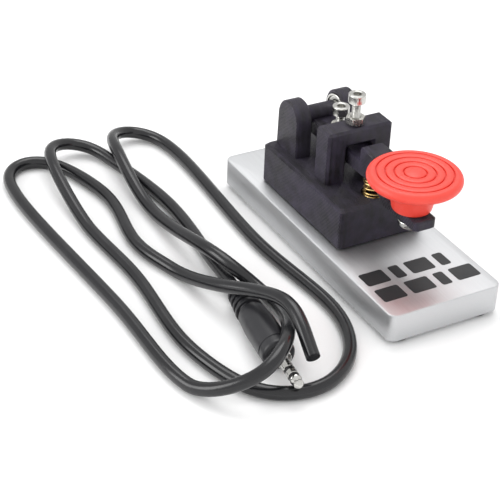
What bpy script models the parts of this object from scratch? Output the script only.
"""Straight morse key: a printed body with an arch and two ears on a metal bar, and a loose lead.

Frame: metres, +Z up, the operator sits on the -Y side. The origin is the middle of the floor
under the bar. The lever turns about the X axis through the ears.
"""
import math

import bmesh
import bpy
import numpy as np
from mathutils import Vector

MM = 0.001
GAP = 0.3 * MM                  # room left between two pieces that touch
HOLE_ROOM = 0.35 * MM           # radial room round a screw or a pin
TOOL_OVERLAP = 1.0 * MM         # how far a cut or a joined block runs past its surface
ROUND = 24                      # points round a small turned piece
ROUND_LARGE = 40                # points round a large turned piece
ALONG_X = (0, math.pi / 2, 0)   # turns a piece made along Z
ALONG_Y = (-math.pi / 2, 0, 0)

# Bar and feet
PLATE_WIDTH = 40.0 * MM
PLATE_LENGTH = 105.0 * MM
PLATE_THICKNESS = 9.5 * MM
PLATE_CORNER = 3.0 * MM
PLATE_CHAMFER = 0.5 * MM
FOOT_RADIUS = 4.5 * MM
FOOT_HEIGHT = 1.0 * MM
FOOT_INSET = 5.6 * MM
PLATE_BOTTOM = FOOT_HEIGHT + GAP
PLATE_TOP = PLATE_BOTTOM + PLATE_THICKNESS

# Printed body: block, arch and ears
BLOCK_WIDTH = 31.2 * MM
BLOCK_LENGTH = 49.1 * MM
BLOCK_HEIGHT = 13.9 * MM
BLOCK_REAR_MARGIN = 18.6 * MM
BLOCK_CORNER = 1.4 * MM
BLOCK_TOP_CHAMFER = 0.9 * MM
BLOCK_BOTTOM = PLATE_TOP + GAP
BLOCK_TOP = BLOCK_BOTTOM + BLOCK_HEIGHT
BLOCK_REAR = PLATE_LENGTH / 2 - BLOCK_REAR_MARGIN
BLOCK_FRONT = BLOCK_REAR - BLOCK_LENGTH
FRAME_WIDTH = 23.6 * MM
ARCH_DEPTH = 8.0 * MM
ARCH_SETBACK = 15.6 * MM
ARCH_HEIGHT = 17.8 * MM
BEAM_THICKNESS = 5.5 * MM
ARCH_CHAMFER = 0.6 * MM
ARCH_FRONT = BLOCK_FRONT + ARCH_SETBACK
ARCH_MIDDLE = ARCH_FRONT + ARCH_DEPTH / 2
ARCH_TOP = BLOCK_TOP + ARCH_HEIGHT
BEAM_UNDERSIDE = ARCH_TOP - BEAM_THICKNESS
EAR_DEPTH = 13.1 * MM
EAR_THICKNESS = 5.6 * MM
EAR_REAR_SETBACK = 1.6 * MM
EAR_RADIUS = 6.2 * MM
PIVOT_HEIGHT = 11.6 * MM        # above the block
PIVOT_Y = BLOCK_REAR - EAR_REAR_SETBACK - EAR_DEPTH / 2
PIVOT_Z = BLOCK_TOP + PIVOT_HEIGHT
EAR_INNER = FRAME_WIDTH / 2 - EAR_THICKNESS

# Pivot
PIN_RADIUS = 1.5 * MM
BEARING_RADIUS = 5.0 * MM
BEARING_WIDTH = 4.0 * MM
BEARING_PROUD = 0.5 * MM
BEARING_LIP = 0.4 * MM
PIN_END_SETBACK = 0.3 * MM

# Lever
LEVER_WIDTH = 8.2 * MM
LEVER_SIDE_ROOM = 0.7 * MM      # each side, inside the arch
LEVER_DEPTH = 5.4 * MM
LEVER_TOP_ROOM = 1.2 * MM       # under the beam
LEVER_CHAMFER = 0.5 * MM
HUB_RADIUS = 3.0 * MM
HUMP_HEIGHT = 4.2 * MM          # raised stretch in front of the arch
HUMP_REAR_GAP = 5.9 * MM
HUMP_LENGTH = 7.8 * MM
NECK_DROP = 2.2 * MM
PAD_WIDTH = 7.8 * MM
PAD_THICKNESS = 3.4 * MM
PAD_DROP = 5.8 * MM             # pad top below the lever's top
PAD_REACH = 8.1 * MM            # in front of the knob's axis
PAD_CORNER = 1.6 * MM
LEVER_TOP = BEAM_UNDERSIDE - LEVER_TOP_ROOM
LEVER_BOTTOM = LEVER_TOP - LEVER_DEPTH
HUMP_REAR = ARCH_FRONT - HUMP_REAR_GAP
HUMP_FRONT = HUMP_REAR - HUMP_LENGTH
HUMP_TOP = LEVER_TOP + HUMP_HEIGHT
PAD_TOP = LEVER_TOP - PAD_DROP
PAD_BOTTOM = PAD_TOP - PAD_THICKNESS

# Knob and its screw
KNOB_RADIUS = 14.6 * MM
KNOB_RIM_ROOM = 1.4 * MM        # between the rim and the lever's raised stretch
KNOB_AHEAD = HUMP_REAR_GAP + HUMP_LENGTH + KNOB_RIM_ROOM + KNOB_RADIUS
KNOB_HEIGHT = 12.3 * MM
KNOB_STEM_TOP = 7.5 * MM
KNOB_STEM_BOTTOM = 6.2 * MM
KNOB_GROOVES = (3.5 * MM, 6.3 * MM, 9.0 * MM, 11.7 * MM)
KNOB_GROOVE_WIDTH = 0.7 * MM
KNOB_GROOVE_DEPTH = 0.4 * MM
KNOB_BORE_DEPTH = 8.0 * MM
KNOB_SCREW_RADIUS = 1.95 * MM
KNOB_SCREW_HEAD = 3.8 * MM
KNOB_SCREW_HEAD_HEIGHT = 2.3 * MM
KNOB_Y = ARCH_FRONT - KNOB_AHEAD
KNOB_BOTTOM = PAD_TOP + GAP

# Adjusting screws, nuts and contacts (3 mm thread)
SCREW_RADIUS = 1.45 * MM
SCREW_HEAD_RADIUS = 2.75 * MM
SCREW_HEAD_HEIGHT = 3.0 * MM
SCREW_SOCKET_APOTHEM = 1.25 * MM
SCREW_SOCKET_DEPTH = 1.4 * MM
NUT_APOTHEM = 2.75 * MM
NUT_HEIGHT = 2.4 * MM
NUT_CHAMFER = 0.35 * MM
STOP_SCREW_LENGTH = 13.9 * MM
CONTACT_SCREW_BEHIND = 8.5 * MM  # behind the middle of the arch
CONTACT_SCREW_LENGTH = 16.0 * MM
CONTACT_GAP = 0.8 * MM
FIXED_HEAD_RADIUS = 2.75 * MM
FIXED_HEAD_HEIGHT = 1.7 * MM
FIXED_SCREW_LENGTH = 10.0 * MM
LUG_THICKNESS = 0.8 * MM
LUG_RADIUS = 3.2 * MM
CONTACT_Y = ARCH_MIDDLE + CONTACT_SCREW_BEHIND

# Return spring, standing in a seat in the block round a boss on the lever
SPRING_AHEAD = 9.4 * MM         # spring axis in front of the arch
SPRING_RADIUS = 3.1 * MM
SPRING_WIRE = 0.35 * MM         # wire radius
SPRING_TURNS = 5
SPRING_STEPS = 16
SEAT_DEPTH = 1.5 * MM
SEAT_ROOM = 0.6 * MM
BOSS_RADIUS = 2.2 * MM
BOSS_LENGTH = 1.8 * MM
SPRING_Y = ARCH_FRONT - SPRING_AHEAD

# Hollow under the block, jack, wires and frame screws
CAVITY_HALF_WIDTH = 10.8 * MM
CAVITY_FRONT_ROOM = 8.5 * MM    # in front of the contact axis
CAVITY_HEIGHT = 8.0 * MM
REAR_WALL = 3.0 * MM
JACK_HEIGHT = 4.5 * MM          # jack axis above the block's underside
JACK_BUSH_RADIUS = 3.0 * MM
JACK_BORE = 1.8 * MM
JACK_BODY_WIDTH = 9.0 * MM
JACK_BODY_LENGTH = 12.0 * MM
JACK_BODY_HEIGHT = 6.2 * MM
JACK_NUT_RADIUS = 4.2 * MM
JACK_NUT_LENGTH = 2.0 * MM
WIRE_RADIUS = 0.6 * MM
WIRE_HOLE_RADIUS = 1.3 * MM
FRAME_SCREW_SIDE = 2.4 * MM     # in from the block's sides
FRAME_SCREW_END = 5.2 * MM      # in from the block's ends
FRAME_SCREW_GRIP = 7.0 * MM     # length inside the block
CAVITY_TOP = BLOCK_BOTTOM + CAVITY_HEIGHT
CAVITY_REAR = BLOCK_REAR - REAR_WALL
JACK_Z = BLOCK_BOTTOM + JACK_HEIGHT

# Lead: jacket, moulded plug and its contacts
CABLE_RADIUS = 2.1 * MM
CABLE_POINTS = 80
PLUG_START = (-49.7 * MM, -12.7 * MM, 3.86 * MM)
PLUG_HEADING = (-0.152, -0.986, 0.058)
PLUG_SLEEVE_RADIUS = 1.75 * MM
PLUG_BODY_LENGTH = 36.0 * MM
PLUG_BODY_RADIUS = 5.0 * MM
RELIEF_RADIUS = 3.2 * MM
RELIEF_RIBS = 4
RELIEF_RIB_PITCH = 3.0 * MM
RELIEF_RIB_DEPTH = 0.7 * MM
COLLAR_RADIUS = 2.9 * MM
COLLAR_LENGTH = 2.0 * MM
SLEEVE_LENGTH = 5.4 * MM
INSULATOR_LENGTH = 0.7 * MM
RING_LENGTH = 2.0 * MM
TIP_LENGTH = 3.9 * MM
TIP_NECK = 1.05 * MM

# The lead's way over the floor from the plug to its cut end: x, y and height in millimetres
ROUTE = (
    (-47.2, 8, 2.3), (-44.3, 46, 2.1), (-49.8, 80, 2.3), (-53.6, 91, 3.1), (-61, 94.3, 4.8),
    (-68.4, 91, 6.5), (-72, 81, 6.9), (-74.6, 44, 2.1), (-72.6, 12, 2.1), (-74.2, -30, 2.1),
    (-65, -56.5, 2.1), (-50, -62, 2.1), (-36, -55, 2.1), (-26.5, -36, 2.1), (-29, 12, 2.1),
    (-26.7, 78, 2.1), (-29.6, 90.5, 2.4), (-37, 95.2, 3.6), (-44.8, 91, 5.8), (-48.8, 78, 7.4),
    (-51.7, 44, 2.6), (-48.7, -1, 9.0), (-41.6, -15, 2.8), (-45.1, -33.2, 7.0), (-50.4, -44.5, 12.0),
    (-58, -55, 14.6), (-67.5, -60, 11.8), (-81.5, -47.5, 2.4), (-84.3, 0, 2.1), (-88.3, 74, 2.1),
    (-85.4, 87.6, 2.1), (-77.8, 92.3, 2.1), (-70, 88.2, 2.1), (-61, 60, 2.1), (-64.6, 27, 2.1),
    (-59.5, 6, 2.3), (-55.8, -13, 8.6), (-50.8, -26, 13.2), (-48.3, -42, 17.6), (-51.0, -59.4, 11.5),
)


def clear_scene():
    for item in list(bpy.data.objects):
        bpy.data.objects.remove(item, do_unlink=True)


def make_material(name, colour, roughness, metallic=0.0):
    material = bpy.data.materials.new(name)
    material.use_nodes = True
    shader = material.node_tree.nodes["Principled BSDF"]
    shader.inputs["Base Color"].default_value = (*colour, 1.0)
    shader.inputs["Roughness"].default_value = roughness
    shader.inputs["Metallic"].default_value = metallic
    return material


def circle(radius, height, count=ROUND):
    """Points of a level circle round the Z axis."""
    angles = [2 * math.pi * step / count for step in range(count)]
    return [(radius * math.cos(a), radius * math.sin(a), height) for a in angles]


def hexagon(apothem, height, count=ROUND):
    """Points of a level hexagon, as many as a circle has, so that the two can be joined."""
    points = []
    for step in range(count):
        angle = 2 * math.pi * step / count
        from_flat = (angle + math.pi / 6) % (math.pi / 3) - math.pi / 6
        radius = apothem / math.cos(from_flat)
        points.append((radius * math.cos(angle), radius * math.sin(angle), height))
    return points


def rounded_rectangle(width, length, corner, height, steps=5):
    """A level rectangle whose corners are arcs of the given radius."""
    points = []
    for quarter, (side, end) in enumerate(((1, 1), (-1, 1), (-1, -1), (1, -1))):
        centre_x = side * (width / 2 - corner)
        centre_y = end * (length / 2 - corner)
        for step in range(steps + 1):
            angle = math.pi / 2 * (quarter + step / steps)
            points.append((centre_x + corner * math.cos(angle), centre_y + corner * math.sin(angle), height))
    return points


def chamfered_rectangle(x_range, y_range, corner, height):
    """A level rectangle whose corners are cut off at 45 degrees."""
    x_low, x_high = x_range
    y_low, y_high = y_range
    return [
        (x_high, y_high - corner, height), (x_high - corner, y_high, height),
        (x_low + corner, y_high, height), (x_low, y_high - corner, height),
        (x_low, y_low + corner, height), (x_low + corner, y_low, height),
        (x_high - corner, y_low, height), (x_high, y_low + corner, height),
    ]


def loft(rings, closed=False):
    """Skin over rings of points. A ring of one point is a pole; closed joins the last to the first."""
    mesh = bmesh.new()
    rows = [[mesh.verts.new(point) for point in ring] for ring in rings]
    pairs = list(zip(rows, rows[1:]))
    if closed:
        pairs.append((rows[-1], rows[0]))
    for lower, upper in pairs:
        count = max(len(lower), len(upper))
        for step in range(count):
            corners = [lower[step % len(lower)], lower[(step + 1) % len(lower)],
                       upper[(step + 1) % len(upper)], upper[step % len(upper)]]
            mesh.faces.new(list(dict.fromkeys(corners)))
    if not closed:
        for row in (rows[0], rows[-1]):
            if len(row) > 1:
                mesh.faces.new(row)
    bmesh.ops.recalc_face_normals(mesh, faces=mesh.faces)
    return mesh


def turned(profile, count=ROUND, closed=False):
    """A body of revolution round Z from (radius, height) pairs."""
    rings = [circle(radius, height, count) if radius > 0 else [(0, 0, height)] for radius, height in profile]
    return loft(rings, closed)


def extruded(outline, axis, low, high):
    """A straight prism: a flat outline of two coordinates, pushed along the X, Y or Z axis."""
    def point(pair, along):
        values = list(pair)
        values.insert(axis, along)
        return tuple(values)
    return loft([[point(pair, low) for pair in outline], [point(pair, high) for pair in outline]])


def add_piece(name, mesh, material, location=(0, 0, 0), parent=None, rotation=(0, 0, 0), smooth=True):
    """Make an object from a bmesh. The location is in the world, also for a piece with a parent."""
    data = bpy.data.meshes.new(name)
    mesh.to_mesh(data)
    mesh.free()
    if smooth:
        data.shade_smooth()
        data.set_sharp_from_angle(angle=math.radians(30))
    data.materials.append(material)
    piece = bpy.data.objects.new(name, data)
    bpy.context.scene.collection.objects.link(piece)
    attach(piece, location, parent)
    piece.rotation_euler = rotation
    return piece


def attach(piece, location, parent):
    piece.location = location
    if parent is not None:
        piece.parent = parent
        piece.location = Vector(location) - parent.location


def add_tool(name, mesh, location=(0, 0, 0), rotation=(0, 0, 0), bevel=0.0):
    """A hidden body that is cut from a piece or joined to it."""
    data = bpy.data.meshes.new(name)
    mesh.to_mesh(data)
    mesh.free()
    tool = bpy.data.objects.new(name, data)
    bpy.context.scene.collection.objects.link(tool)
    tool.location = location
    tool.rotation_euler = rotation
    tool.hide_render = True
    tool.display_type = 'WIRE'
    if bevel > 0:
        add_bevel(tool, bevel)
    return tool


def add_bevel(piece, width):
    bevel = piece.modifiers.new("edge_chamfer", 'BEVEL')
    bevel.width = width
    bevel.segments = 1
    bevel.limit_method = 'ANGLE'
    bevel.angle_limit = math.radians(40)


def combine(piece, tool, operation):
    boolean = piece.modifiers.new(tool.name, 'BOOLEAN')
    boolean.object = tool
    boolean.operation = operation
    boolean.solver = 'EXACT'


def cut(piece, tool):
    combine(piece, tool, 'DIFFERENCE')


def join(piece, tool):
    combine(piece, tool, 'UNION')


def rod_profile(radius, low, high):
    return ((0, low), (radius, low), (radius, high), (0, high))


def drill(piece, name, profile, centre, rotation=(0, 0, 0)):
    """Cut a turned shape out of a piece. The profile's heights run along the turned Z axis."""
    cut(piece, add_tool(name, turned(profile), centre, rotation))


def add_tube(name, points, radius, material, resolution):
    """A round tube with flat ends along a list of points."""
    curve = bpy.data.curves.new(name, 'CURVE')
    curve.dimensions = '3D'
    curve.bevel_depth = radius
    curve.bevel_resolution = resolution
    curve.use_fill_caps = True
    spline = curve.splines.new('POLY')
    spline.points.add(len(points) - 1)
    for target, point in zip(spline.points, points):
        target.co = (*point, 1.0)
    curve.materials.append(material)
    tube = bpy.data.objects.new(name, curve)
    bpy.context.scene.collection.objects.link(tube)
    return tube


def add_pivot():
    """The lever's axis: everything that rocks is parented to it."""
    pivot = bpy.data.objects.new("lever_pivot", None)
    bpy.context.scene.collection.objects.link(pivot)
    pivot.location = (0, PIVOT_Y, PIVOT_Z)
    bpy.context.view_layer.update()
    return pivot


def frame_screw_places():
    side = BLOCK_WIDTH / 2 - FRAME_SCREW_SIDE
    front = BLOCK_FRONT + FRAME_SCREW_END
    rear = BLOCK_REAR - FRAME_SCREW_END
    return {
        "front_left": (-side, front), "front_right": (side, front),
        "rear_left": (-side, rear), "rear_right": (side, rear),
    }


def countersink_profile(room):
    """Head and shank of a countersunk screw seen from its head end, with room round it."""
    return (
        (0, PLATE_BOTTOM - room), (SCREW_HEAD_RADIUS + room, PLATE_BOTTOM - room),
        (SCREW_RADIUS + room, PLATE_BOTTOM + 1.6 * MM),
        (SCREW_RADIUS + room, BLOCK_BOTTOM + FRAME_SCREW_GRIP + room),
        (0, BLOCK_BOTTOM + FRAME_SCREW_GRIP + room),
    )


def make_plate(material):
    edge = PLATE_CHAMFER
    rings = [
        rounded_rectangle(PLATE_WIDTH - 2 * edge, PLATE_LENGTH - 2 * edge, PLATE_CORNER - edge, PLATE_BOTTOM),
        rounded_rectangle(PLATE_WIDTH, PLATE_LENGTH, PLATE_CORNER, PLATE_BOTTOM + edge),
        rounded_rectangle(PLATE_WIDTH, PLATE_LENGTH, PLATE_CORNER, PLATE_TOP - edge),
        rounded_rectangle(PLATE_WIDTH - 2 * edge, PLATE_LENGTH - 2 * edge, PLATE_CORNER - edge, PLATE_TOP),
    ]
    plate = add_piece("base_plate", loft(rings), material, smooth=False)
    for place, (x, y) in frame_screw_places().items():
        drill(plate, "tool_plate_hole_" + place, countersink_profile(HOLE_ROOM), (x, y, 0))


def make_frame_screws(material):
    for place, (x, y) in frame_screw_places().items():
        add_piece("frame_screw_" + place, turned(countersink_profile(0)), material, (x, y, 0))


def make_feet(material):
    profile = ((0, 0), (FOOT_RADIUS - GAP, 0), (FOOT_RADIUS, GAP), (FOOT_RADIUS, FOOT_HEIGHT), (0, FOOT_HEIGHT))
    for end, y in (("front", FOOT_INSET - PLATE_LENGTH / 2), ("rear", PLATE_LENGTH / 2 - FOOT_INSET)):
        for side, x in (("left", FOOT_INSET - PLATE_WIDTH / 2), ("right", PLATE_WIDTH / 2 - FOOT_INSET)):
            add_piece(f"foot_{end}_{side}", turned(profile), material, (x, y, 0))


def make_block(material):
    half = BLOCK_WIDTH / 2
    edge = BLOCK_TOP_CHAMFER
    inner = ((edge - half, half - edge), (BLOCK_FRONT + edge, BLOCK_REAR - edge))
    outer = ((-half, half), (BLOCK_FRONT, BLOCK_REAR))
    rings = [
        chamfered_rectangle(*outer, BLOCK_CORNER, BLOCK_BOTTOM),
        chamfered_rectangle(*outer, BLOCK_CORNER, BLOCK_TOP - edge),
        chamfered_rectangle(*inner, BLOCK_CORNER, BLOCK_TOP),
    ]
    return add_piece("printed_frame", loft(rings), material, smooth=False)


def arch_tool():
    """The arch: an upside-down U across the block, open for the lever."""
    side = FRAME_WIDTH / 2
    inside = LEVER_WIDTH / 2 + LEVER_SIDE_ROOM
    low = BLOCK_TOP - TOOL_OVERLAP
    outline = (
        (-side, low), (-side, ARCH_TOP), (side, ARCH_TOP), (side, low),
        (inside, low), (inside, BEAM_UNDERSIDE), (-inside, BEAM_UNDERSIDE), (-inside, low),
    )
    mesh = extruded(outline, 1, ARCH_FRONT, ARCH_FRONT + ARCH_DEPTH)
    return add_tool("tool_arch", mesh, bevel=ARCH_CHAMFER)


def ear_tool(name, side):
    """One ear: straight flanks up to the pivot's height, then a round top about the pivot."""
    arc_steps = 14
    outline = [(PIVOT_Y + EAR_DEPTH / 2, BLOCK_TOP - TOOL_OVERLAP)]
    for step in range(arc_steps + 1):
        angle = math.pi * step / arc_steps
        outline.append((PIVOT_Y + EAR_RADIUS * math.cos(angle), PIVOT_Z + EAR_RADIUS * math.sin(angle)))
    outline.append((PIVOT_Y - EAR_DEPTH / 2, BLOCK_TOP - TOOL_OVERLAP))
    near, far = sorted((side * EAR_INNER, side * FRAME_WIDTH / 2))
    return add_tool(name, extruded(outline, 0, near, far))


def cavity_tool():
    """The hollow under the block that holds the jack, the lower nut and the wires."""
    outline = (
        (-CAVITY_HALF_WIDTH, CONTACT_Y - CAVITY_FRONT_ROOM), (CAVITY_HALF_WIDTH, CONTACT_Y - CAVITY_FRONT_ROOM),
        (CAVITY_HALF_WIDTH, CAVITY_REAR), (-CAVITY_HALF_WIDTH, CAVITY_REAR),
    )
    return add_tool("tool_cavity", extruded(outline, 2, BLOCK_BOTTOM - TOOL_OVERLAP, CAVITY_TOP))


def wire_hole_x():
    return EAR_INNER + EAR_THICKNESS / 2


def make_frame(material):
    frame = make_block(material)
    join(frame, arch_tool())
    join(frame, ear_tool("tool_ear_left", -1))
    join(frame, ear_tool("tool_ear_right", 1))
    cut(frame, cavity_tool())
    hole = SCREW_RADIUS + HOLE_ROOM
    past = TOOL_OVERLAP
    stop_hole = rod_profile(hole, BEAM_UNDERSIDE - past, ARCH_TOP + past)
    drill(frame, "tool_stop_hole", stop_hole, (0, ARCH_MIDDLE, 0))
    seat = FIXED_HEAD_RADIUS + HOLE_ROOM
    seat_floor = fixed_head_bottom() - GAP
    fixed_hole = (
        (0, CAVITY_TOP - past), (hole, CAVITY_TOP - past), (hole, seat_floor),
        (seat, seat_floor), (seat, BLOCK_TOP + past), (0, BLOCK_TOP + past),
    )
    drill(frame, "tool_fixed_hole", fixed_hole, (0, CONTACT_Y, 0))
    spring_seat = rod_profile(SPRING_RADIUS + SPRING_WIRE + SEAT_ROOM, BLOCK_TOP - SEAT_DEPTH, BLOCK_TOP + past)
    drill(frame, "tool_spring_seat", spring_seat, (0, SPRING_Y, 0))
    pocket = EAR_INNER - BEARING_PROUD + BEARING_WIDTH + GAP
    pin_hole = PIN_RADIUS + HOLE_ROOM
    pivot_hole = (
        (0, -pocket), (BEARING_RADIUS + GAP, -pocket), (BEARING_RADIUS + GAP, pocket), (pin_hole, pocket),
        (pin_hole, FRAME_WIDTH / 2 + past), (0, FRAME_WIDTH / 2 + past),
    )
    drill(frame, "tool_pivot_hole", pivot_hole, (0, PIVOT_Y, PIVOT_Z), ALONG_X)
    wire_hole = rod_profile(WIRE_HOLE_RADIUS, CAVITY_TOP - past, PIVOT_Z)
    drill(frame, "tool_wire_hole", wire_hole, (wire_hole_x(), PIVOT_Y, 0))
    screw_hole = rod_profile(hole, BLOCK_BOTTOM - past, BLOCK_BOTTOM + FRAME_SCREW_GRIP + GAP)
    for place, (x, y) in frame_screw_places().items():
        drill(frame, "tool_frame_hole_" + place, screw_hole, (x, y, 0))
    jack_hole = rod_profile(JACK_BUSH_RADIUS + GAP, -past, REAR_WALL + past)
    drill(frame, "tool_jack_hole", jack_hole, (0, CAVITY_REAR, JACK_Z), ALONG_Y)


def make_pivot_parts(material, pin_material, pivot):
    """Two ball bearings in the ears, and the pin that turns with the lever."""
    bore = PIN_RADIUS + HOLE_ROOM
    shield = (BEARING_RADIUS + bore) / 2
    half = BEARING_WIDTH / 2
    profile = (
        (bore, -half), (shield - 1.0 * MM, -half), (shield - 0.9 * MM, BEARING_LIP - half),
        (shield + 0.9 * MM, BEARING_LIP - half), (shield + 1.0 * MM, -half), (BEARING_RADIUS, -half),
        (BEARING_RADIUS, half), (shield + 1.0 * MM, half), (shield + 0.9 * MM, half - BEARING_LIP),
        (shield - 0.9 * MM, half - BEARING_LIP), (shield - 1.0 * MM, half), (bore, half),
    )
    for name, side in (("pivot_bearing_left", -1), ("pivot_bearing_right", 1)):
        x = side * (EAR_INNER - BEARING_PROUD + half)
        add_piece(name, turned(profile, closed=True), material, (x, PIVOT_Y, PIVOT_Z), None, ALONG_X)
    left = -(EAR_INNER - BEARING_PROUD + BEARING_WIDTH)
    right = FRAME_WIDTH / 2 - PIN_END_SETBACK
    rod = turned(rod_profile(PIN_RADIUS, left, right))
    add_piece("pivot_pin", rod, pin_material, (0, PIVOT_Y, PIVOT_Z), pivot, ALONG_X)


def lever_outline():
    """The lever seen from its right side: rear bar, raised stretch, neck and the way down to the pad."""
    neck_top = LEVER_TOP - NECK_DROP
    neck_front = KNOB_Y + KNOB_STEM_TOP + 1.3 * MM
    return (
        (PIVOT_Y, LEVER_TOP), (HUMP_REAR, LEVER_TOP), (HUMP_REAR, HUMP_TOP), (HUMP_FRONT, HUMP_TOP),
        (HUMP_FRONT - 0.6 * MM, neck_top), (neck_front, neck_top), (neck_front, PAD_TOP),
        (neck_front - PAD_THICKNESS, PAD_TOP), (neck_front - PAD_THICKNESS, PAD_BOTTOM),
        (neck_front, PAD_BOTTOM), (HUMP_FRONT - 1.0 * MM, LEVER_BOTTOM), (PIVOT_Y, LEVER_BOTTOM),
    )


def make_lever(material, pivot):
    half = LEVER_WIDTH / 2
    outline = [(y - PIVOT_Y, z - PIVOT_Z) for y, z in lever_outline()]
    mesh = extruded(outline, 0, -half, half)
    lever = add_piece("lever_arm", mesh, material, (0, PIVOT_Y, PIVOT_Z), pivot, smooth=False)
    add_bevel(lever, LEVER_CHAMFER)
    hub_end = EAR_INNER - BEARING_PROUD - GAP
    past = TOOL_OVERLAP
    centre = (0, PIVOT_Y, PIVOT_Z)
    join(lever, add_tool("tool_hub", turned(rod_profile(HUB_RADIUS, -hub_end, hub_end)), centre, ALONG_X))
    pad_half = PAD_WIDTH / 2
    pad_range = (KNOB_Y - PAD_REACH, KNOB_Y + KNOB_STEM_TOP)
    pad_heights = (PAD_BOTTOM, PAD_TOP)
    pad_rings = [chamfered_rectangle((-pad_half, pad_half), pad_range, PAD_CORNER, z) for z in pad_heights]
    join(lever, add_tool("tool_pad", loft(pad_rings)))
    boss = turned(rod_profile(BOSS_RADIUS, LEVER_BOTTOM - BOSS_LENGTH, LEVER_BOTTOM + past))
    join(lever, add_tool("tool_boss", boss, (0, SPRING_Y, 0)))
    hub_bore = rod_profile(PIN_RADIUS + HOLE_ROOM, -hub_end - past, hub_end + past)
    drill(lever, "tool_hub_bore", hub_bore, centre, ALONG_X)
    contact_hole = rod_profile(SCREW_RADIUS + HOLE_ROOM, LEVER_BOTTOM - past, LEVER_TOP + past)
    drill(lever, "tool_contact_hole", contact_hole, (0, CONTACT_Y, 0))
    knob_hole = rod_profile(KNOB_SCREW_RADIUS + HOLE_ROOM, PAD_BOTTOM - past, PAD_TOP + past)
    drill(lever, "tool_knob_hole", knob_hole, (0, KNOB_Y, 0))


def knob_profile():
    """From the bore's roof down the bore, out and up the stem, round the rim and in over the grooves."""
    top = KNOB_HEIGHT
    bore = KNOB_SCREW_RADIUS + HOLE_ROOM
    profile = [
        (0, KNOB_BORE_DEPTH), (bore, KNOB_BORE_DEPTH), (bore, 0), (KNOB_STEM_BOTTOM - 0.5 * MM, 0),
        (KNOB_STEM_BOTTOM, 0.5 * MM), (KNOB_STEM_TOP, top - 5.9 * MM), (KNOB_STEM_TOP + 0.6 * MM, top - 5.6 * MM),
        (KNOB_STEM_TOP + 0.6 * MM, top - 5.0 * MM), (KNOB_RADIUS - 0.8 * MM, top - 3.3 * MM),
        (KNOB_RADIUS - 0.1 * MM, top - 2.6 * MM), (KNOB_RADIUS, top - 1.9 * MM),
        (KNOB_RADIUS - 0.3 * MM, top - 0.9 * MM), (KNOB_RADIUS - 1.0 * MM, top - 0.2 * MM),
        (KNOB_RADIUS - 1.7 * MM, top),
    ]
    for radius in reversed(KNOB_GROOVES):
        half = KNOB_GROOVE_WIDTH / 2
        profile += [(radius + half, top), (radius, top - KNOB_GROOVE_DEPTH), (radius - half, top)]
    return profile + [(0, top)]


def make_knob(material, screw_material, pivot):
    add_piece("key_knob", turned(knob_profile(), ROUND_LARGE), material, (0, KNOB_Y, KNOB_BOTTOM), pivot)
    head_top = PAD_BOTTOM - GAP
    head = head_top - KNOB_SCREW_HEAD_HEIGHT
    tip = KNOB_BOTTOM + KNOB_BORE_DEPTH - HOLE_ROOM
    socket = [hexagon(SCREW_SOCKET_APOTHEM, z) for z in (SCREW_SOCKET_DEPTH, 0)]
    rings = [[(0, 0, SCREW_SOCKET_DEPTH)], *socket]
    rings += [circle(KNOB_SCREW_HEAD - 0.8 * MM, 0), circle(KNOB_SCREW_HEAD, 1.2 * MM)]
    rings += [circle(KNOB_SCREW_HEAD, head_top - head), circle(KNOB_SCREW_RADIUS, head_top - head)]
    rings += [circle(KNOB_SCREW_RADIUS, tip - head), [(0, 0, tip - head)]]
    add_piece("knob_screw", loft(rings), screw_material, (0, KNOB_Y, head), pivot)


def cap_screw(length):
    """A socket-head cap screw standing on its tip: the origin is the head's underside."""
    top = SCREW_HEAD_HEIGHT
    edge = 0.3 * MM
    return loft([
        [(0, 0, -length)], circle(SCREW_RADIUS - edge, -length), circle(SCREW_RADIUS, edge - length),
        circle(SCREW_RADIUS, 0), circle(SCREW_HEAD_RADIUS, 0), circle(SCREW_HEAD_RADIUS, top - edge),
        circle(SCREW_HEAD_RADIUS - edge, top), hexagon(SCREW_SOCKET_APOTHEM, top),
        hexagon(SCREW_SOCKET_APOTHEM, top - SCREW_SOCKET_DEPTH), [(0, 0, top - SCREW_SOCKET_DEPTH)],
    ])


def hex_nut():
    """A hexagon nut standing on z = 0."""
    bore = SCREW_RADIUS + HOLE_ROOM
    low = NUT_CHAMFER
    high = NUT_HEIGHT - NUT_CHAMFER
    return loft([
        circle(bore, 0), circle(NUT_APOTHEM - 0.1 * MM, 0), hexagon(NUT_APOTHEM, low),
        hexagon(NUT_APOTHEM, high), circle(NUT_APOTHEM - 0.1 * MM, NUT_HEIGHT), circle(bore, NUT_HEIGHT),
    ], closed=True)


def make_adjusting_screws(screw_material, nut_material, pivot):
    """The stop screw stands in the arch over the lever, the contact screw in the lever behind it."""
    stop_head = LEVER_TOP + GAP + STOP_SCREW_LENGTH
    add_piece("stop_screw", cap_screw(STOP_SCREW_LENGTH), screw_material, (0, ARCH_MIDDLE, stop_head))
    add_piece("stop_lock_nut", hex_nut(), nut_material, (0, ARCH_MIDDLE, ARCH_TOP + GAP))
    contact_head = contact_tip() + CONTACT_SCREW_LENGTH
    add_piece("contact_screw", cap_screw(CONTACT_SCREW_LENGTH), screw_material, (0, CONTACT_Y, contact_head), pivot)
    add_piece("contact_lock_nut", hex_nut(), nut_material, (0, CONTACT_Y, LEVER_TOP + GAP), pivot)


def contact_tip():
    return BLOCK_TOP + GAP + CONTACT_GAP


def fixed_head_bottom():
    return contact_tip() - CONTACT_GAP - FIXED_HEAD_HEIGHT


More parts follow.
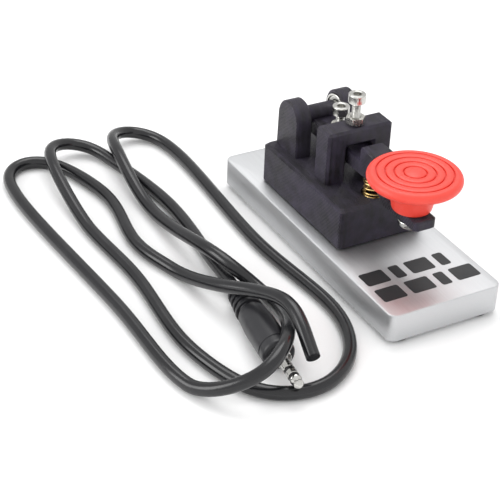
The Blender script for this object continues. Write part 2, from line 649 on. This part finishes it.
def make_fixed_contact(screw_material, nut_material, lug_material):
    """The lower contact: a flat-headed screw through the block, with a lug and a nut under its roof."""
    head = fixed_head_bottom()
    edge = 0.3 * MM
    profile = (
        (0, -FIXED_SCREW_LENGTH), (SCREW_RADIUS, -FIXED_SCREW_LENGTH), (SCREW_RADIUS, 0), (FIXED_HEAD_RADIUS, 0),
        (FIXED_HEAD_RADIUS, FIXED_HEAD_HEIGHT - edge), (FIXED_HEAD_RADIUS - edge, FIXED_HEAD_HEIGHT),
        (0, FIXED_HEAD_HEIGHT),
    )
    add_piece("fixed_contact", turned(profile), screw_material, (0, CONTACT_Y, head))
    lug_low = CAVITY_TOP - GAP - LUG_THICKNESS
    bore = SCREW_RADIUS + HOLE_ROOM
    lug = ((bore, 0), (LUG_RADIUS, 0), (LUG_RADIUS, LUG_THICKNESS), (bore, LUG_THICKNESS))
    add_piece("contact_lug", turned(lug, closed=True), lug_material, (0, CONTACT_Y, lug_low))
    add_piece("fixed_contact_nut", hex_nut(), nut_material, (0, CONTACT_Y, lug_low - GAP - NUT_HEIGHT))


def make_spring(material):
    low = BLOCK_TOP - SEAT_DEPTH + GAP + SPRING_WIRE
    high = LEVER_BOTTOM - GAP - SPRING_WIRE
    count = SPRING_TURNS * SPRING_STEPS
    points = []
    for step in range(count + 1):
        angle = 2 * math.pi * step / SPRING_STEPS
        height = low + (high - low) * step / count
        points.append((SPRING_RADIUS * math.cos(angle), SPRING_Y + SPRING_RADIUS * math.sin(angle), height))
    add_tube("return_spring", points, SPRING_WIRE, material, 1)


def make_jack(body_material, nut_material):
    """A panel jack behind the block's rear wall, with its bush through the wall and a nut outside."""
    wall_face = CAVITY_REAR - GAP
    half_width = JACK_BODY_WIDTH / 2
    half_height = JACK_BODY_HEIGHT / 2
    outline = (
        (-half_width, -half_height), (half_width, -half_height),
        (half_width, half_height), (-half_width, half_height),
    )
    box = loft([[(x, y, z) for x, y in outline] for z in (-JACK_BODY_LENGTH, 0)])
    centre = (0, wall_face, JACK_Z)
    jack = add_piece("jack_socket", box, body_material, centre, None, ALONG_Y, smooth=False)
    bush_end = GAP + REAR_WALL + GAP + JACK_NUT_LENGTH
    bush = turned(rod_profile(JACK_BUSH_RADIUS, -TOOL_OVERLAP, bush_end))
    join(jack, add_tool("tool_bush", bush, centre, ALONG_Y))
    bore = rod_profile(JACK_BORE, 2.0 * MM - JACK_BODY_LENGTH, bush_end + TOOL_OVERLAP)
    drill(jack, "tool_jack_bore", bore, centre, ALONG_Y)
    inner = JACK_BUSH_RADIUS + GAP
    outer = JACK_NUT_RADIUS
    ring = turned(((inner, 0), (outer, 0), (outer, JACK_NUT_LENGTH), (inner, JACK_NUT_LENGTH)), closed=True)
    add_piece("jack_nut", ring, nut_material, (0, BLOCK_REAR + GAP, JACK_Z), None, ALONG_Y)


def make_wires(contact_material, pivot_material):
    """Two insulated wires in the hollow: lug to jack, and right-hand bearing to jack."""
    jack_front = CAVITY_REAR - GAP - JACK_BODY_LENGTH - WIRE_RADIUS - GAP
    below_lug = CAVITY_TOP - GAP - LUG_THICKNESS / 2
    start = (-LUG_RADIUS - WIRE_RADIUS - GAP, CONTACT_Y, below_lug)
    middle = (-LUG_RADIUS - 2.0 * MM, (CONTACT_Y + jack_front) / 2, JACK_Z + 1.0 * MM)
    end = (-1.5 * MM, jack_front, JACK_Z)
    contact_route = (start, middle, (-3.2 * MM, jack_front, JACK_Z), end)
    add_tube("contact_wire", smooth_points(contact_route, 10), WIRE_RADIUS, contact_material, 1)
    x = wire_hole_x()
    top = PIVOT_Z - BEARING_RADIUS - GAP - WIRE_RADIUS
    beside = JACK_BODY_WIDTH / 2 + WIRE_RADIUS + 2.0 * MM
    route = (
        (x, PIVOT_Y, top), (x, PIVOT_Y, CAVITY_TOP + 3.0 * MM),
        (x - 0.4 * MM, PIVOT_Y - 1.0 * MM, JACK_Z + 1.5 * MM), (beside, jack_front + 3.0 * MM, JACK_Z),
        (beside - 2.0 * MM, jack_front, JACK_Z), (1.5 * MM, jack_front, JACK_Z),
    )
    add_tube("pivot_wire", smooth_points(route, 20), WIRE_RADIUS, pivot_material, 1)


def catmull_rom(points, per_span):
    """A smooth curve through every point, with knots spaced by the root of the distance."""
    points = np.asarray(points, dtype=float)
    points = np.vstack((2 * points[0] - points[1], points, 2 * points[-1] - points[-2]))
    curve = []
    for index in range(1, len(points) - 2):
        before, start, end, after = points[index - 1:index + 3]
        knots = [math.sqrt(np.linalg.norm(b - a)) for a, b in ((before, start), (start, end), (end, after))]
        out = end - start + knots[1] * ((start - before) / knots[0] - (end - before) / (knots[0] + knots[1]))
        into = end - start + knots[1] * ((after - end) / knots[2] - (after - start) / (knots[1] + knots[2]))
        for t in np.linspace(0, 1, per_span, endpoint=False):
            weights = (2 * t**3 - 3 * t**2 + 1, t**3 - 2 * t**2 + t, 3 * t**2 - 2 * t**3, t**3 - t**2)
            curve.append(weights[0] * start + weights[1] * out + weights[2] * end + weights[3] * into)
    curve.append(points[-2])
    return np.array(curve)


def evenly_spaced(curve, count):
    lengths = np.concatenate(([0], np.cumsum(np.linalg.norm(np.diff(curve, axis=0), axis=1))))
    stations = np.linspace(0, lengths[-1], count)
    return np.column_stack([np.interp(stations, lengths, curve[:, axis]) for axis in range(3)])


def relaxed(curve, passes, floor):
    """Even the bends out, as a stiff jacket does, with both ends kept and nothing under the floor."""
    curve = curve.copy()
    for _ in range(passes):
        curve[2:-2] = 0.25 * curve[1:-3] + 0.5 * curve[2:-2] + 0.25 * curve[3:-1]
    curve[:, 2] = np.maximum(curve[:, 2], floor)
    return curve


def smooth_points(points, count):
    return [tuple(point) for point in evenly_spaced(catmull_rom(points, 12), count)]


def plug_end(distance):
    heading = Vector(PLUG_HEADING).normalized()
    return Vector(PLUG_START) + heading * distance


def cable_points():
    """The jacket's centre line: straight out of the plug, then along the route."""
    first = plug_end(-GAP)
    second = plug_end(-GAP - 3 * CABLE_RADIUS)
    route = [tuple(first), tuple(second)] + [tuple(value * MM for value in point) for point in ROUTE]
    fine = evenly_spaced(catmull_rom(route, 20), 900)
    return evenly_spaced(relaxed(fine, 25, CABLE_RADIUS), CABLE_POINTS)


def make_cable(material):
    add_tube("lead_jacket", [tuple(point) for point in cable_points()], CABLE_RADIUS, material, 2)


def relief_profile():
    """The ribbed strain relief and the moulded body behind the plug's contacts."""
    profile = [(0, 0), (RELIEF_RADIUS - 0.4 * MM, 0), (RELIEF_RADIUS, 0.4 * MM)]
    for rib in range(RELIEF_RIBS):
        low = 0.8 * MM + rib * RELIEF_RIB_PITCH
        radius = RELIEF_RADIUS + (rib + 1) * 0.3 * MM
        high = low + RELIEF_RIB_PITCH
        profile += [(radius, high - 1.8 * MM), (radius - RELIEF_RIB_DEPTH, high - 1.5 * MM)]
        profile += [(radius - RELIEF_RIB_DEPTH, high - 0.6 * MM), (radius + 0.1 * MM, high - 0.3 * MM)]
    front = PLUG_BODY_LENGTH
    profile += [
        (PLUG_BODY_RADIUS - 0.4 * MM, 16.5 * MM), (PLUG_BODY_RADIUS, 20.0 * MM),
        (PLUG_BODY_RADIUS, front - 4.0 * MM), (PLUG_BODY_RADIUS - 0.3 * MM, front - 3.7 * MM),
        (PLUG_BODY_RADIUS - 0.3 * MM, front - 3.3 * MM), (PLUG_BODY_RADIUS, front - 3.0 * MM),
        (PLUG_BODY_RADIUS, front - 0.8 * MM), (PLUG_BODY_RADIUS - 0.8 * MM, front), (0, front),
    ]
    return profile


def make_plug(rubber, metal, insulator):
    """The moulded plug, then its contacts from the collar to the tip, a gap apart."""
    heading = Vector((0, 0, 1)).rotation_difference(Vector(PLUG_HEADING).normalized()).to_euler()
    add_piece("plug_body", turned(relief_profile()), rubber, PLUG_START, None, heading)
    sleeve = PLUG_SLEEVE_RADIUS
    collar_edge = 0.3 * MM
    spacer = [(0, 0), (sleeve - 0.1 * MM, 0), (sleeve - 0.1 * MM, INSULATOR_LENGTH), (0, INSULATOR_LENGTH)]
    pieces = (
        ("plug_sleeve", metal, COLLAR_LENGTH + SLEEVE_LENGTH, [
            (0, 0), (COLLAR_RADIUS, 0), (COLLAR_RADIUS, COLLAR_LENGTH - collar_edge),
            (COLLAR_RADIUS - collar_edge, COLLAR_LENGTH), (sleeve, COLLAR_LENGTH),
            (sleeve, COLLAR_LENGTH + SLEEVE_LENGTH), (0, COLLAR_LENGTH + SLEEVE_LENGTH)]),
        ("plug_insulator_rear", insulator, INSULATOR_LENGTH, spacer),
        ("plug_ring", metal, RING_LENGTH, [(0, 0), (sleeve, 0), (sleeve, RING_LENGTH), (0, RING_LENGTH)]),
        ("plug_insulator_front", insulator, INSULATOR_LENGTH, spacer),
        ("plug_tip", metal, TIP_LENGTH, [
            (0, 0), (sleeve, 0), (sleeve, 0.7 * MM), (TIP_NECK, 1.5 * MM), (TIP_NECK + 0.1 * MM, 1.8 * MM),
            (sleeve - 0.2 * MM, 2.5 * MM), (sleeve - 0.2 * MM, 2.8 * MM), (0.5 * MM, TIP_LENGTH), (0, TIP_LENGTH)]),
    )
    start = PLUG_BODY_LENGTH + GAP
    for name, material, length, profile in pieces:
        add_piece(name, turned(profile, 16), material, plug_end(start), None, heading)
        start += length + GAP


def main():
    clear_scene()
    print_black = make_material("printed_black", (0.012, 0.011, 0.014), 0.5)
    knob_red = make_material("knob_red", (0.83, 0.06, 0.045), 0.4)
    bar_metal = make_material("bar_metal", (0.78, 0.78, 0.79), 0.32, 1.0)
    screw_steel = make_material("screw_steel", (0.72, 0.71, 0.70), 0.22, 1.0)
    nut_steel = make_material("nut_steel", (0.68, 0.67, 0.66), 0.28, 1.0)
    brass = make_material("brass", (0.75, 0.55, 0.25), 0.25, 1.0)
    rubber = make_material("foot_rubber", (0.015, 0.015, 0.015), 0.7)
    jacket = make_material("cable_jacket", (0.018, 0.018, 0.02), 0.4)
    moulding = make_material("plug_moulding", (0.02, 0.02, 0.022), 0.45)
    insulator = make_material("plug_insulator", (0.02, 0.02, 0.02), 0.4)
    wire_red = make_material("wire_red", (0.5, 0.02, 0.02), 0.4)
    wire_black = make_material("wire_black", (0.02, 0.02, 0.02), 0.4)
    jack_black = make_material("jack_black", (0.015, 0.015, 0.015), 0.45)

    pivot = add_pivot()
    make_plate(bar_metal)
    make_feet(rubber)
    make_frame(print_black)
    make_frame_screws(screw_steel)
    make_pivot_parts(nut_steel, screw_steel, pivot)
    make_lever(print_black, pivot)
    make_knob(knob_red, screw_steel, pivot)
    make_adjusting_screws(screw_steel, nut_steel, pivot)
    make_fixed_contact(screw_steel, nut_steel, brass)
    make_spring(brass)
    make_jack(jack_black, nut_steel)
    make_wires(wire_red, wire_black)
    make_cable(jacket)
    make_plug(moulding, screw_steel, insulator)


main()
